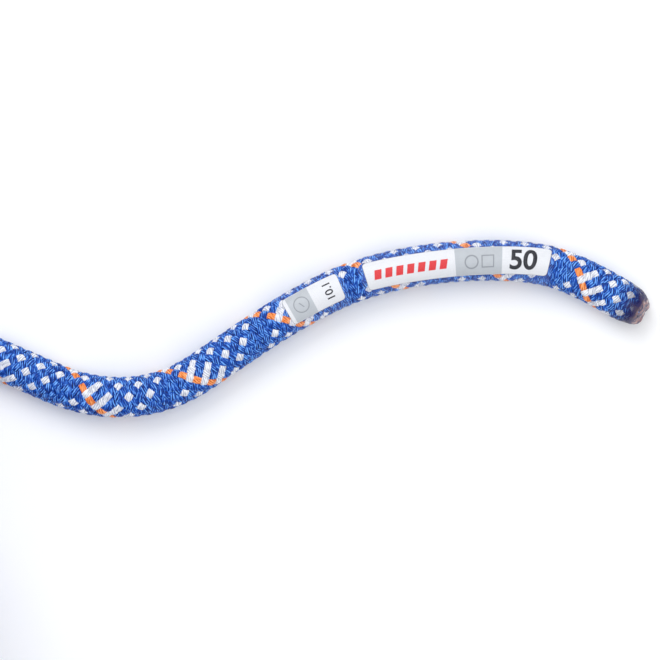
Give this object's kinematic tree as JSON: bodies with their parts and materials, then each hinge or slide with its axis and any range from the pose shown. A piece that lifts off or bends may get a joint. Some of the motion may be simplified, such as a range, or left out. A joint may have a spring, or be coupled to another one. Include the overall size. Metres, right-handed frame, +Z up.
{
  "type": "dynamic climbing rope",
  "caption": "Dynamic climbing rope in a patterned woven sheath, wound in a tied hank, with a labelled, fused loose end run out in a gentle S.",
  "frame": {"origin": "middle of the box that the whole rope fills, on the surface that it lies on", "axes": "+Z up, +X along the hank towards the loose end, +Y to the side that the loose end leaves from"},
  "size_m": [0.5438, 0.179, 0.1213],
  "materials": {
    "sheath": "woven polyamide, royal blue with white and orange yarns",
    "core": "twisted white polyamide yarn",
    "tape": "thin printed tape",
    "seal": "melted polyamide, dark and glazed",
    "label": "printed film label, satin",
    "film": "clear shrunk film",
    "tie": "black hook and loop webbing"
  },
  "bodies": {
    "root": {"sheath": "sheath", "core_strand_01": "core", "core_strand_02": "core", "core_strand_03": "core", "core_strand_04": "core", "core_strand_05": "core", "core_strand_06": "core", "core_strand_07": "core", "core_strand_08": "core", "core_strand_09": "core", "core_strand_10": "core", "core_strand_11": "core", "core_strand_12": "core", "identification_tape": "tape", "loose_end_seal": "seal", "far_end_seal": "seal", "loose_end_length_label": "label", "loose_end_diameter_label": "label", "far_end_length_label": "label", "far_end_diameter_label": "label", "loose_end_length_label_film": "film", "loose_end_diameter_label_film": "film", "far_end_length_label_film": "film", "far_end_diameter_label_film": "film", "rope_hank": "sheath", "far_end_rope": "sheath", "tie_band": "tie", "tie_flap": "tie"}
  },
  "joints": []
}
